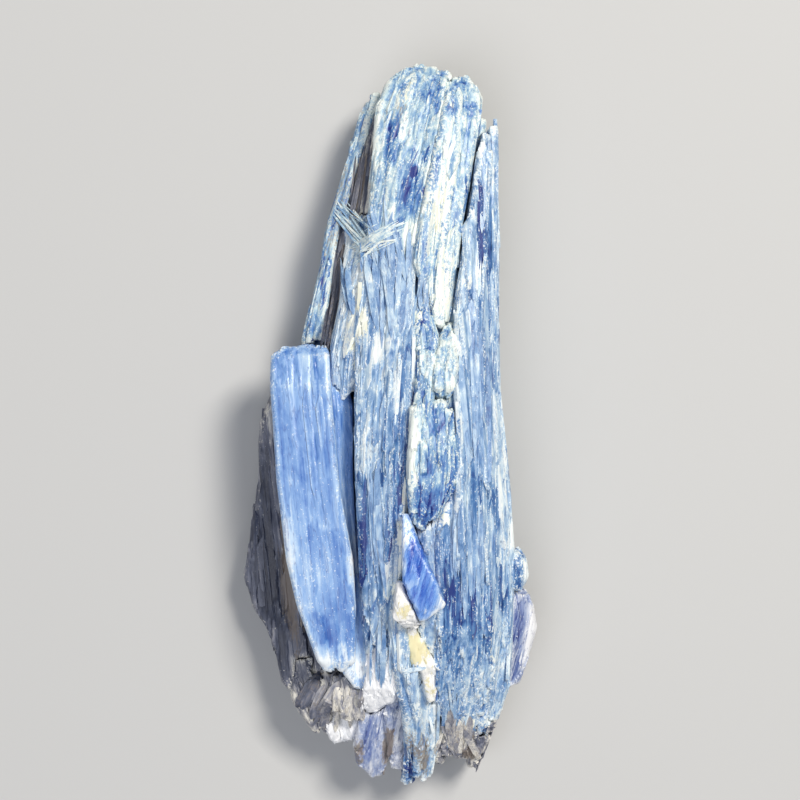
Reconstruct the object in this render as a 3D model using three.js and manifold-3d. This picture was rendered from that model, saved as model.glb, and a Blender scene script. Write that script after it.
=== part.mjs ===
// A kyanite blade cluster, lying on its back: tabular blue crystals that grew side by side, with quartz and
// mica between them. Millimetres, +Z up, +Y towards the narrow end, origin under the middle of the cluster.
//
// Every blade is given by stations along its length, from the cluster's broad end to its narrow one. A
// station is [y, left x, right x, back z, front z at the left edge, front z at the right edge].
// A blade then splits lengthwise into laths, because kyanite cleaves along its length: each lath stands a
// little higher or lower than its neighbours and breaks off at its own place.

import * as THREE from "three";
import { mergeVertices } from "three/addons/utils/BufferGeometryUtils.js";
import Module from "manifold-3d";

const GAP = 0.3; // air between neighbouring pieces
const CHAMFER = 0.35; // bevel along a lath's corners
const CHAMFER_SHARE = 0.25; // and at most this share of its width or thickness
const WIDTH_SPREAD = 0.5; // how far the cut between two laths strays, as a share of a lath's width
const LATH_OVERLAP = 0.04; // how far laths of one blade run into each other, as a share of the blade's width
const TABLE_Z = 0; // the surface the cluster rests on

const wasm = await Module();
wasm.setup();

// ---- Laths and blades ----

// Numbers from 0 to 1 that are the same on every run.
function randomFrom(seed) {
  let state = seed;
  return () => {
    state = (state + 0x6d2b79f5) | 0;
    let t = Math.imul(state ^ (state >>> 15), 1 | state);
    t = (t + Math.imul(t ^ (t >>> 7), 61 | t)) ^ t;
    return ((t ^ (t >>> 14)) >>> 0) / 4294967296;
  };
}

// The station at height y along a blade, between two of its own.
function stationAt(stations, y) {
  const above = Math.max(1, stations.findIndex((s) => s[0] >= y));
  const [low, high] = [stations[above - 1], stations[above]];
  const share = (y - low[0]) / (high[0] - low[0]);
  return low.map((value, i) => THREE.MathUtils.lerp(value, high[i], share));
}

// A lath's cross-section, as [column, layer] steps that the stations turn into millimetres. Columns go from
// the left edge to the right one, layers from the back to the front.
const FRONT_BEVELLED = [[0, 0], [3, 0], [3, 2], [2, 3], [1, 3], [0, 2]];
const ALL_BEVELLED = [[0, 1], [1, 0], [2, 0], [3, 1], [3, 2], [2, 3], [1, 3], [0, 2]];

// One lath as a closed solid: its cross-section drawn out along the stations. grow swells it on every side,
// to the space that a neighbour has to leave.
function lath({ stations, bevelBack }, grow = 0) {
  const steps = bevelBack ? ALL_BEVELLED : FRONT_BEVELLED;
  const profile = new THREE.Shape(steps.map((p) => new THREE.Vector2(...p)));
  const rows = stations.length - 1;
  const drawn = new THREE.ExtrudeGeometry(profile, { depth: rows, steps: rows, bevelEnabled: false });
  const place = drawn.getAttribute("position");
  for (let v = 0; v < place.count; v++) {
    const [column, layer, row] = [place.getX(v), place.getY(v), rows - place.getZ(v)].map(Math.round);
    const [y, left, right, back, frontLeft, frontRight] = stations[row];
    const end = row === 0 ? -1 : row === rows ? 1 : 0;
    const thickness = (frontLeft + frontRight) / 2 - back;
    const bevel = Math.min(CHAMFER, CHAMFER_SHARE * (right - left), CHAMFER_SHARE * thickness);
    const x = [left - grow, left + bevel, right - bevel, right + grow][column];
    const front = THREE.MathUtils.mapLinear(x, left, right, frontLeft, frontRight) + grow;
    const z = [back - grow, back - grow + bevel, front - bevel, front][layer];
    place.setXYZ(v, x, y + end * grow, z);
  }
  drawn.deleteAttribute("normal");
  drawn.deleteAttribute("uv");
  const merged = mergeVertices(drawn, 1e-5);
  return new wasm.Manifold(
    new wasm.Mesh({
      numProp: 3,
      vertProperties: merged.getAttribute("position").array,
      triVerts: new Uint32Array(merged.index.array),
    }),
  );
}

// Splits a blade's stations into count laths. step is how far fronts differ, ragged how far the ends do, sunk
// how far backs do, and crown how much the middle of the blade stands above its edges.
function laths(stations, options = {}) {
  const { count = 1, step = 0, ragged = [0, 0], sunk = 0, crown = 0, bevelBack = false, seed = 1 } = options;
  const random = randomFrom(seed);
  const longest = [Math.floor(random() * count), Math.floor(random() * count)];
  const [first, last] = [stations[0][0], stations[stations.length - 1][0]];
  const cuts = Array.from({ length: count + 1 }, (_, i) => {
    const strays = i > 0 && i < count ? WIDTH_SPREAD * (random() - 0.5) : 0;
    return (i + strays) / count;
  });
  return cuts.slice(1).map((cut, i) => {
    const from = Math.max(0, cuts[i] - LATH_OVERLAP * random());
    const to = Math.min(1, cut + LATH_OVERLAP * (0.4 + random()));
    const middle = (from + to) / 2;
    const rise = step * (2 * random() - 1) + crown * (1 - (2 * middle - 1) ** 2);
    const sink = sunk * random();
    const start = first + (i === longest[0] ? 0 : ragged[0] * random());
    const stop = last - (i === longest[1] ? 0 : ragged[1] * random());
    const inner = stations.filter((s) => s[0] > start + 0.4 && s[0] < stop - 0.4);
    const own = [stationAt(stations, start), ...inner, stationAt(stations, stop)].map(
      ([y, left, right, back, frontLeft, frontRight]) => [
        y,
        THREE.MathUtils.lerp(left, right, from),
        THREE.MathUtils.lerp(left, right, to),
        back + sink,
        THREE.MathUtils.lerp(frontLeft, frontRight, from) + rise,
        THREE.MathUtils.lerp(frontLeft, frontRight, to) + rise,
      ],
    );
    return { stations: own, bevelBack };
  });
}

const union = (solids) => solids.reduce((all, next) => all.add(next));
const largest = (solid) => solid.decompose().sort((a, b) => b.volume() - a.volume())[0];

function toGeometry(solid) {
  const mesh = solid.getMesh();
  const geometry = new THREE.BufferGeometry();
  geometry.setAttribute("position", new THREE.BufferAttribute(mesh.vertProperties, 3));
  geometry.setIndex(new THREE.BufferAttribute(mesh.triVerts, 1));
  geometry.computeVertexNormals();
  return geometry;
}

// ---- Minerals ----

const mineral = (color, roughness) => new THREE.MeshStandardMaterial({ color, roughness, metalness: 0 });
const blue = mineral(0x7f9fd2, 0.45); // fresh blade faces
const cobalt = mineral(0x4468bb, 0.35); // the clearest blade
const pale = mineral(0xb4c7e2, 0.5); // blades dusted white
const stained = mineral(0x5f6170, 0.65); // blades with brown mica on them
const quartz = mineral(0xe9e6da, 0.5);
const mica = mineral(0xe4e6ea, 0.35);

const cluster = new THREE.Group();
const taken = []; // the space that the pieces made so far fill, each grown by the gap

// Adds a piece made of groups of laths. Pieces are made from the front of the cluster to its back, and each
// gives way to those in front of it.
function addPiece(name, material, ...groups) {
  const all = groups.flat();
  let solid = union(all.map((s) => lath(s)));
  for (const space of taken) solid = solid.subtract(space);
  taken.push(union(all.map((s) => lath(s, GAP))));
  const mesh = new THREE.Mesh(toGeometry(largest(solid)), material);
  mesh.name = name;
  cluster.add(mesh);
}

// ---- On the front ----

// A clear cobalt blade that lies aslant on the others.
addPiece(
  "diagonal_blade",
  cobalt,
  laths(
    [
      [-28.4, 4.3, 5, 20.8, 23.4, 23.4],
      [-27, 3.8, 7.2, 20.2, 24, 23.6],
      [-26, 3.3, 8.2, 20, 24.3, 23.8],
      [-22.6, 1.9, 6.9, 19.6, 24.9, 24.4],
      [-17, 1.8, 4.4, 19.2, 24.6, 24.2],
      [-12.6, 1.9, 2.7, 19, 23.4, 23.2],
    ],
    { count: 2, step: 0.1, seed: 3 },
  ),
);

// A mottled plate, higher than what lies left of it, that runs up to the foot of the wedge blade.
addPiece(
  "middle_plate",
  pale,
  laths(
    [
      [-15, 3.8, 5.2, 18.4, 21.3, 21],
      [-12.4, 3.2, 7.6, 16.8, 22.6, 21.8],
      [-8, 2.8, 9.6, 16.5, 23.2, 22],
      [-3, 2.9, 9.7, 16.5, 23.2, 22],
      [3.8, 3.4, 9, 16.5, 22.2, 21.4],
    ],
    { count: 4, step: 0.2, ragged: [1.6, 1.4], seed: 11 },
  ),
  laths(
    [
      [2, 3.8, 6.1, 16, 22, 21.8],
      [8, 4.2, 6.5, 15.6, 21.2, 21],
      [13, 3.9, 7.1, 15, 19.8, 19.7],
      [18.6, 3.6, 5.6, 14, 18, 18],
    ],
    { count: 2, step: 0.3, ragged: [0, 1.5], seed: 5 },
  ),
  laths(
    [
      [-13, 4.4, 8.4, 8, 18.6, 18.6],
      [4, 3.8, 9.8, 7, 19.4, 18.6],
      [12, 3.8, 9.9, 7, 17.6, 16.8],
      [18, 3.8, 10, 6, 16.2, 15.6],
      [29, 3.7, 9.6, 6, 14.8, 14],
    ],
    { seed: 6 },
  ),
);

// A short blade with a rounded foot, between the middle plate and the wedge blade.
addPiece(
  "foot_blade",
  pale,
  laths(
    [
      [4.3, 7.4, 8.5, 17.4, 20.8, 20.7],
      [5.8, 6.5, 9.5, 16.6, 22.2, 21.6],
      [9, 6.6, 10, 16, 21.6, 21],
      [12.6, 7.3, 9.7, 15, 20, 19.6],
      [15.4, 8.1, 9.4, 14, 18.2, 18],
    ],
    { count: 2, step: 0.2, ragged: [0.3, 0.6], seed: 8 },
  ),
);

// The blade that ends in a cream wedge. A long crack parts it from the right blade.
addPiece(
  "wedge_blade",
  pale,
  laths(
    [
      [14.4, 7.4, 8.3, 13, 18, 17.8],
      [18.6, 5.9, 9, 12, 18.3, 17.9],
      [24.4, 3.6, 9.7, 11.6, 18.6, 18],
      [30, 4.5, 10.5, 11.4, 18.3, 17.6],
      [38, 6, 11.9, 11.4, 17.6, 16.6],
      [46, 7.8, 13.3, 10.8, 16.4, 15],
      [50.2, 8.4, 13.7, 9.8, 14.8, 13.6],
      [52.9, 8.7, 11.8, 9.4, 13.4, 12.8],
    ],
    { count: 3, step: 0.35, ragged: [1.4, 0.9], seed: 21 },
  ),
);

// The broad blade that makes the cluster's narrow end. One of its laths reaches under the wedge blade.
addPiece(
  "top_blade",
  pale,
  laths(
    [
      [24.6, -3.3, 3.9, 15, 16.1, 17.6],
      [31, -3.1, 5, 10.4, 16.1, 17.4],
      [39, -2.5, 6.4, 5.6, 16, 17],
      [48, -1.9, 8.6, 5.6, 14.6, 15.6],
      [52, -0.4, 9.6, 6.2, 13.2, 14.2],
      [54.6, 2.6, 8.2, 7.4, 11.6, 12.2],
    ],
    { count: 4, step: 0.3, ragged: [4, 0.8], crown: 0.3, seed: 33 },
  ),
  laths(
    [
      [51, 3.2, 5.6, 7, 13.4, 13.6],
      [55, 3.6, 5.2, 8, 11.2, 11.4],
    ],
    { seed: 2 },
  ),
  laths(
    [
      [28, 3, 11, 6, 10.8, 10.6],
      [38, 3, 13.8, 5.6, 10.8, 10.4],
      [47, 4, 14.4, 5.6, 10, 9.4],
    ],
    { seed: 3 },
  ),
);

// ---- Left front ----

// The largest blade face: a broad slab with straight streaks, and a flank that falls into the groove.
addPiece(
  "front_left_blade",
  blue,
  laths(
    [
      [-36.6, -9.8, -6.6, 12, 15.6, 15.2],
      [-35.2, -10.7, -5.4, 11.2, 16.4, 15.8],
      [-27, -13.6, -5.2, 10.6, 17.4, 17],
      [-20, -15.2, -5.6, 10.4, 17.7, 17.4],
      [-8, -16.7, -7.8, 10.3, 17.6, 17.6],
      [6, -17.7, -9, 10.4, 17, 17.4],
      [10.6, -17.6, -9.2, 10.8, 16, 16.8],
      [12.2, -15.8, -9.7, 11.6, 15.2, 15.9],
    ],
    { count: 3, step: 0.18, ragged: [1.2, 0.4], crown: 0.25, bevelBack: true, seed: 41 },
  ),
  laths(
    [
      [-39.8, -5, -3.2, 11.6, 14.2, 13.8],
      [-37, -6.9, -2.8, 10.8, 15, 14],
      [-24, -7.2, -4.6, 10.4, 16.9, 15],
      [-8, -9, -5.8, 10.4, 17.2, 14.6],
      [3, -9.6, -5.8, 10.4, 17.2, 14.6],
      [6, -9.6, -6.6, 10.6, 16.8, 14.4],
    ],
    { count: 2, step: 0.1, ragged: [0.8, 0.6], seed: 44 },
  ),
);

// ---- Middle ----

// Long laths that stand beside the groove, pale on their ridges.
addPiece(
  "centre_blades",
  blue,
  laths(
    [
      [-35.4, -3.2, 0, 8, 16, 17],
      [-30, -3.8, 0.4, 6.8, 17.4, 18.6],
      [-22, -4, 1.5, 6, 18.6, 20],
      [-6, -4.8, 2.5, 5.6, 19.7, 21.4],
      [13, -4.9, 3.7, 5.6, 18.2, 19.8],
      [22, -4.4, 3.5, 5.6, 16.4, 18],
      [30, -3, 3.4, 6, 15.5, 16.6],
    ],
    { count: 4, step: 0.45, ragged: [3.5, 3], crown: 0.5, seed: 57 },
  ),
);

// Shorter laths that lean on the centre blades above the front left blade.
addPiece(
  "shoulder_blades",
  blue,
  laths(
    [
      [3.4, -8.6, -7.2, 11.6, 14.8, 15.4],
      [6.4, -8.7, -5.4, 10.4, 15.8, 17],
      [11, -8.7, -5.1, 9, 16, 17.4],
      [17, -7.6, -4.9, 8.4, 15.2, 16.8],
      [24, -7, -4.3, 8, 13.6, 15.4],
      [32, -6.4, -3, 8, 11, 14],
    ],
    { count: 2, step: 0.45, ragged: [2, 2.2], seed: 61 },
  ),
);

// ---- Right ----

// The long blade along the right side, parted from the wedge blade by the crack. Its outer laths reach
// furthest towards the broad end.
addPiece(
  "right_blade",
  blue,
  laths(
    [
      [-45, 14.8, 16.2, 6.4, 11.2, 9.6],
      [-40, 14.6, 18, 5.6, 13.4, 10.8],
      [-30, 14.2, 18.2, 5.2, 16.4, 12.6],
      [-19, 14, 18.5, 5, 17.4, 13.4],
      [-8, 14, 17.6, 4.8, 17.6, 14],
      [6, 13.6, 16.2, 4.8, 17, 14],
      [32, 13.9, 16.1, 5, 15, 13.2],
      [45.4, 14.3, 16, 6.6, 12.8, 11.8],
    ],
    { count: 2, step: 0.3, ragged: [3, 1.2], bevelBack: true, seed: 73 },
  ),
  laths(
    [
      [-19, 9.8, 13.6, 18.6, 20.1, 18.4],
      [-6, 10, 14.4, 9, 20.8, 18],
      [6, 9.8, 13.8, 5.4, 19.8, 17.4],
      [17.4, 9.7, 13.8, 5, 18.2, 16.4],
      [37, 12.8, 14.8, 5, 15.4, 14.6],
      [44.4, 14, 15.2, 6, 13.4, 13],
    ],
    { count: 3, step: 0.3, ragged: [7, 4], crown: 0.4, seed: 75 },
  ),
);

// Straight narrow laths in the broad end of the cluster, right of the middle.
addPiece(
  "lower_right_blades",
  blue,
  laths(
    [
      [-48, 8.2, 14.8, 6, 11.4, 9.6],
      [-44, 7.8, 15.6, 5.2, 13.2, 11],
      [-38, 7, 15.6, 5.2, 16.6, 13.6],
      [-30, 7.2, 15, 5.2, 19.2, 16.6],
      [-17, 7.2, 14.4, 5.2, 20.2, 18],
      [-4, 9.2, 14, 5.2, 19.4, 16.6],
    ],
    { count: 5, step: 0.45, ragged: [5, 4], crown: 0.3, seed: 84 },
  ),
);

// A small knob that stands out of the right side.
addPiece(
  "side_knob",
  blue,
  laths(
    [
      [-24.7, 17.6, 20, 7.4, 13, 12.2],
      [-23, 17.2, 20.8, 6.6, 14, 12.6],
      [-20.8, 17.2, 20.6, 6.4, 14.2, 12.8],
      [-19, 17.8, 19.7, 7, 13.4, 12.4],
    ],
    { seed: 9 },
  ),
);

// A thin curved blade on the right side, whose edge is white.
addPiece(
  "side_blade",
  pale,
  laths(
    [
      [-40.4, 17.2, 19, 5.8, 9.6, 8.8],
      [-37, 16.4, 20.4, 4.8, 11, 9.4],
      [-31, 16.6, 22.2, 3.8, 12.6, 10],
      [-27.6, 17, 21.7, 4.2, 12.8, 10.2],
      [-25.2, 17.4, 20.6, 5.2, 12.4, 10.4],
    ],
    { count: 2, step: 0.3, ragged: [1.6, 0.6], bevelBack: true, seed: 93 },
  ),
);

// ---- Broad end ----

// A wedge of quartz under the foot of the diagonal blade.
addPiece(
  "quartz_wedge",
  quartz,
  laths(
    [
      [-29.4, 2.4, 4.2, 17.4, 21.4, 21.4],
      [-28.2, 0.7, 4.8, 16.6, 22.6, 22.8],
      [-25.6, 0.8, 3.6, 16, 23.4, 23.6],
      [-22.6, 1.1, 2.2, 17.4, 23, 23.2],
    ],
    { seed: 12 },
  ),
);

// A vein of cream quartz between laths, further down.
addPiece(
  "quartz_vein",
  quartz,
  laths(
    [
      [-41.4, 5.8, 7.2, 12, 15.4, 15.2],
      [-37, 4.8, 7.1, 12, 17, 16.8],
      [-35.4, 3.4, 6.9, 12.4, 17.8, 17.6],
      [-32, 2.7, 4.8, 13, 18.4, 18.2],
      [-29.6, 2.4, 3.6, 14, 18.8, 18.6],
    ],
    { count: 2, step: 0.25, ragged: [0.4, 0.6], seed: 15 },
  ),
);

// White mica below the groove, between the front left blade and the lower centre blades.
addPiece(
  "mica_patch",
  mica,
  laths(
    [
      [-43.2, -4.6, -2.2, 10.4, 12.8, 13],
      [-41.4, -4.4, 0.4, 9.8, 14, 14.6],
      [-39.4, -4, 1.3, 9.4, 15.2, 16],
      [-37, -3.4, 0.9, 9.4, 16, 16.8],
      [-31.6, -3.2, 0.2, 10.4, 16.6, 17.6],
    ],
    { count: 2, step: 0.3, ragged: [0.6, 0.4], seed: 17 },
  ),
);

// Laths that run from under the diagonal blade down to the broad end's lowest tip.
addPiece(
  "lower_centre_blades",
  blue,
  laths(
    [
      [-54.6, 1.9, 4.2, 6.6, 9.8, 9.6],
      [-50, 2.6, 4.9, 5.8, 12.6, 12.2],
      [-43, 2.2, 4.6, 5.6, 15.8, 15.2],
      [-36, 0.5, 2.8, 5.6, 18.4, 18],
      [-27, -0.2, 2.2, 7, 19.8, 19.6],
    ],
    { count: 2, step: 0.35, ragged: [2, 1], seed: 19 },
  ),
  laths(
    [
      [-54.2, 4.3, 6, 6.8, 9, 8.8],
      [-48, 4, 7, 5.6, 12, 11.4],
      [-27, 1.8, 7.4, 6, 19, 19.2],
      [-13, 1.8, 9, 6, 18.8, 19.2],
    ],
    { count: 3, step: 0.55, ragged: [4.5, 1.5], seed: 26 },
  ),
);

// Two flat blades side by side that stick out of the broad end like a tongue.
addPiece(
  "tongue_blade",
  blue,
  laths(
    [
      [-53.9, -2.9, -1.5, 6.2, 8.6, 8.4],
      [-51.6, -4.7, -0.8, 5.2, 10, 9.6],
      [-48.6, -5.3, -0.4, 4.8, 11, 10.6],
      [-41, -3.4, 1, 5.2, 12.6, 13],
      [-34, -3.2, 1, 5.2, 7.6, 7.6],
    ],
    { count: 2, step: 0.3, ragged: [1, 0.4], seed: 29 },
  ),
  laths(
    [
      [-52.5, 0.6, 2, 6.4, 9, 9],
      [-48, -0.4, 1.8, 5.6, 11.4, 11.2],
      [-43.4, -1, 2, 5.6, 12.6, 12.4],
      [-38, -0.4, 2.4, 5.6, 9, 9],
    ],
    { seed: 30 },
  ),
);

// Short, brown-stained lath ends at the right of the broad end.
addPiece(
  "stained_ends",
  stained,
  laths(
    [
      [-52.6, 10, 13, 3.8, 8, 7.4],
      [-50, 8.8, 14.4, 2.8, 10.2, 9],
      [-45.4, 8, 15.9, 2.4, 12.4, 10.6],
      [-41.6, 8, 16.6, 3.6, 11, 9],
    ],
    { count: 3, step: 0.5, ragged: [3.4, 1], seed: 38 },
  ),
  laths(
    [
      [-51.6, 6.6, 9.2, 4.4, 9, 8.6],
      [-46.6, 6, 9.6, 3.6, 12.2, 11.6],
      [-42, 6.2, 9.6, 4, 12, 11.4],
    ],
    { count: 2, step: 0.4, ragged: [1.6, 0.5], seed: 39 },
  ),
);

// Broken laths that fan out under the front left blade's foot. Some lie over the mica plates.
addPiece(
  "fan_blades",
  stained,
  laths(
    [
      [-44.8, -7.6, -4.6, 10.8, 12, 12],
      [-42, -9.4, -4, 10.2, 12.6, 12.8],
      [-37.6, -9, -3.4, 9.9, 12.6, 13.6],
    ],
    { count: 3, step: 0.3, ragged: [1.6, 0.4], seed: 70 },
  ),
  laths(
    [
      [-47.4, -11.2, -9.6, 5.8, 8.4, 8.6],
      [-44.6, -13, -9, 4.8, 9.4, 10.2],
      [-41.6, -14.9, -8.4, 4.8, 9.6, 11.2],
      [-35.6, -14.4, -8.2, 8.4, 9.2, 11],
    ],
    { count: 3, step: 0.2, ragged: [1.6, 3.4], seed: 71 },
  ),
);

// Clear white mica plates at the left of the broad end.
addPiece(
  "mica_plates",
  mica,
  laths(
    [
      [-48.6, -8.6, -5.8, 6, 8.6, 8.6],
      [-46.8, -9.6, -4.7, 5.4, 9.8, 9.6],
      [-42.4, -9.2, -4.6, 5.4, 10.4, 10.4],
    ],
    { count: 3, step: 0.4, ragged: [0.7, 0.6], bevelBack: true, seed: 47 },
  ),
);

// ---- Left side ----

// The blade edge that makes the left outline up to the notch beside the top blade.
addPiece(
  "left_edge_blade",
  pale,
  laths(
    [
      [12.6, -13.2, -9.9, 4.6, 11, 12],
      [16, -12.4, -9.8, 3.6, 11.4, 12],
      [24, -10.4, -8.9, 3.2, 11.6, 12],
      [30, -9.5, -7.9, 3, 11.4, 11.8],
      [39, -6.8, -5.3, 3.4, 10.6, 11.2],
      [47, -4.7, -3, 4.2, 9.8, 10.4],
      [50.8, -3.2, -1.9, 6, 8.6, 9],
    ],
    { count: 2, step: 0.2, ragged: [0.7, 1.2], bevelBack: true, seed: 53 },
  ),
);

// Brown mica-coated laths that rise out of the dark between the left edge blade and the top blade.
addPiece(
  "recess_blades",
  stained,
  laths(
    [
      [4, -10.4, -7, 6.4, 9.4, 11],
      [12, -10.2, -6.8, 5, 9.8, 12],
      [24, -9, -6, 4.6, 10.2, 12.8],
      [32, -7.6, -3, 4.6, 10.2, 13.4],
      [40, -5.4, -2.2, 4.6, 9.6, 13.2],
      [48, -3.2, -1.4, 4.8, 8.6, 11],
    ],
    { count: 3, step: 0.3, ragged: [1, 2], seed: 59 },
  ),
);

// Dark blades behind the front left blade. They make the left outline of the broad end.
addPiece(
  "back_left_blades",
  stained,
  laths(
    [
      [-43.4, -12.6, -6.4, 5.8, 8, 9.6],
      [-39.6, -16.2, -5.4, 4.6, 8, 9.8],
      [-35, -17.2, -5, 3.6, 8, 9.8],
      [-31.4, -18.7, -5, 3.2, 7.8, 9.8],
      [-27.6, -21, -5, 3, 6.8, 9.8],
      [-23, -22.3, -5.4, 3, 6.6, 9.8],
      [-11.6, -20.4, -8.6, 3.2, 7, 9.7],
    ],
    { count: 2, step: 0.25, ragged: [2.6, 0], sunk: 0.5, bevelBack: true, seed: 67 },
  ),
  laths(
    [
      [-14, -20.6, -9.6, 3.2, 7, 9.7],
      [-9, -19.8, -9.6, 3.2, 7.2, 9.7],
      [-5.6, -20, -9.6, 3.4, 7.6, 9.7],
      [0.6, -19.8, -9.8, 3.8, 8, 9.6],
      [5.2, -17.6, -10.6, 5, 8.2, 9.2],
    ],
    { count: 2, step: 0.2, ragged: [0, 1], sunk: 0.4, bevelBack: true, seed: 68 },
  ),
);

// ---- Back ----

// The blade in the middle of the back. Two of its laths share a clean cleavage face, on which it all rests.
addPiece(
  "rest_blade",
  blue,
  laths(
    [
      [-40, -6.4, 3.4, TABLE_Z, 4.2, 4.2],
      [-28, -8.6, 5.4, TABLE_Z, 4.2, 4.2],
      [2, -8.8, 6.4, TABLE_Z, 4.2, 4.2],
      [34, -4.6, 5.8, TABLE_Z, 4.2, 4.2],
    ],
    { count: 2, ragged: [4, 9], bevelBack: true, seed: 77 },
  ),
  laths(
    [
      [-46.4, -3.4, 1.8, 1.2, 4.2, 4.4],
      [-20, -5, 2.6, 0.4, 4, 4],
      [43.6, -1.6, 3.4, 1.6, 4.4, 4.4],
    ],
    { count: 2, ragged: [5, 4], bevelBack: true, seed: 78 },
  ),
);

// Blades beside it that lean away from the table.
addPiece(
  "under_right_blade",
  blue,
  laths(
    [
      [-41, 6.4, 12.8, 1.4, 3.8, 3.6],
      [-32, 6.2, 16.8, 0.5, 4.2, 4],
      [-10, 7, 16.2, 0.4, 4.2, 4.2],
      [18, 7, 14.6, 0.9, 4.2, 4.2],
      [41, 6.4, 10.4, 2.2, 4.2, 4.2],
    ],
    { count: 2, step: 0.1, ragged: [4, 7], sunk: 0.7, bevelBack: true, seed: 79 },
  ),
);

addPiece(
  "under_left_blade",
  blue,
  laths(
    [
      [-37, -12.4, -8.4, 1.4, 3, 3.6],
      [-24, -17, -9.2, 0.8, 2.6, 3.6],
      [-4, -15.8, -9.2, 0.6, 2.8, 3.6],
      [14, -11.6, -7, 1, 3.4, 4],
      [26, -8.6, -5.4, 2.2, 4, 4],
    ],
    { count: 2, ragged: [7, 5], sunk: 0.7, bevelBack: true, seed: 81 },
  ),
);

// ---- Origin: under the middle of the whole cluster, on the table ----

const box = new THREE.Box3().setFromObject(cluster);
const middle = box.getCenter(new THREE.Vector3());
cluster.position.set(-middle.x, -middle.y, -box.min.z);

export default cluster;
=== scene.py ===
"""A kyanite blade cluster lying on a pale table, seen from straight above."""

import math

import bmesh
import bpy
import numpy as np
from mathutils import Matrix, Vector


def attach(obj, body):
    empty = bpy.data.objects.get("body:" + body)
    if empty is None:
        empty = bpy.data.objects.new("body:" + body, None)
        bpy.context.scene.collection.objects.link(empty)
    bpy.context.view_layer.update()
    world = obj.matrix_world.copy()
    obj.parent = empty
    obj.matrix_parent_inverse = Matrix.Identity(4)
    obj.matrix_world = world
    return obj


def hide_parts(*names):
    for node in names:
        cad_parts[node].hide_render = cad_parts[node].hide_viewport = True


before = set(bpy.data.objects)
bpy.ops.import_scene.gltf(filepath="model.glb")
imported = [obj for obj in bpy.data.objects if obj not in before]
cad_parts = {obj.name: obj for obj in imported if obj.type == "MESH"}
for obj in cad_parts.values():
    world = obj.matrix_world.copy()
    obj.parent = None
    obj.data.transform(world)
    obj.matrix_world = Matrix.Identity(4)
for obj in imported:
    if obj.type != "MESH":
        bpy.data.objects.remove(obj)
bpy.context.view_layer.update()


# ---- Front left blade ----
# The widest crystal of the cluster, a tabular blade of kyanite that lies over the left side. It grew as one
# crystal, cleaved along its length into laths, and broke off straight across its head and raggedly at its
# foot.

MM = 0.001


def linear(code):
    """An sRGB hex colour as the linear values that a shader takes."""
    channels = [int(code[i : i + 2], 16) / 255 for i in (1, 3, 5)]
    return (*[c / 12.92 if c <= 0.04045 else ((c + 0.055) / 1.055) ** 2.4 for c in channels], 1.0)


def add(tree, kind, settings, *values, **named):
    """Adds a node with its settings. Inputs come in order or by name, as values, nodes or nodes' outputs."""
    node = tree.nodes.new(kind)
    for key, value in settings.items():
        setattr(node, key, value)
    inputs = [socket for socket in node.inputs if socket.enabled]
    for key, value in (*enumerate(values), *named.items()):
        if isinstance(key, int):
            socket = inputs[key]
        else:
            socket = next(socket for socket in inputs if socket.name == key.replace("_", " "))
        if isinstance(value, bpy.types.Node):
            value = next(output for output in value.outputs if output.enabled)
        if isinstance(value, bpy.types.NodeSocket):
            tree.links.new(value, socket)
        else:
            socket.default_value = value
    return node


ADD, SUBTRACT, MULTIPLY, DIVIDE = ({"operation": name} for name in ("ADD", "SUBTRACT", "MULTIPLY", "DIVIDE"))
SUM = {"operation": "MULTIPLY_ADD"}
MARKS = ("white", "deep", "brown", "cream")  # cloudy, clear, stained and quartz-coated places; one white spot is painted highlight and two deep ones are painted shade
CLOUDINESS = (0.0, 0.28, 0.52, 0.74, 0.97)  # where each of a crystal's five colours stands, clear to white
REFRACTION = 1.72  # kyanite's index of refraction


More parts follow.
